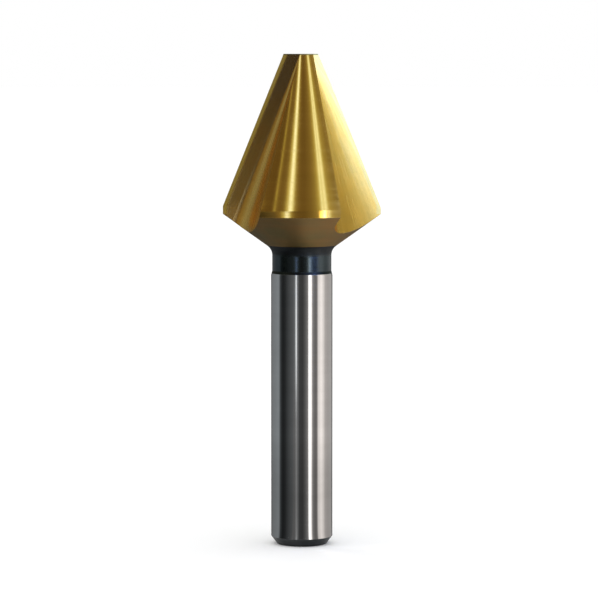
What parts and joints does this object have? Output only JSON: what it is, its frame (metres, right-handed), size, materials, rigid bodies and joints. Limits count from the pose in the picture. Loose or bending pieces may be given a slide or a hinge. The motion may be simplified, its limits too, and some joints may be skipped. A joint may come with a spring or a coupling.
{
  "type": "countersink bit",
  "caption": "Gold-coated steep fluted countersink bit on a plain round shank, with a dark neck and a narrow cylindrical band below the cutting cone.",
  "frame": {"origin": "centre of the flat end face of the shank, on the bit's axis", "axes": "+Z along the bit's axis toward the tip, -Y toward the viewer of the picture, in the middle of one tooth"},
  "size_m": [0.0256, 0.0241, 0.0798],
  "materials": {
    "coated_steel": "High-speed steel. Gold nitride coating on the head, dull at the back cone, dark heat-treatment scale on the neck and end chamfer, bright ground shank."
  },
  "bodies": {
    "root": {"countersink_bit": "coated_steel"}
  },
  "joints": []
}
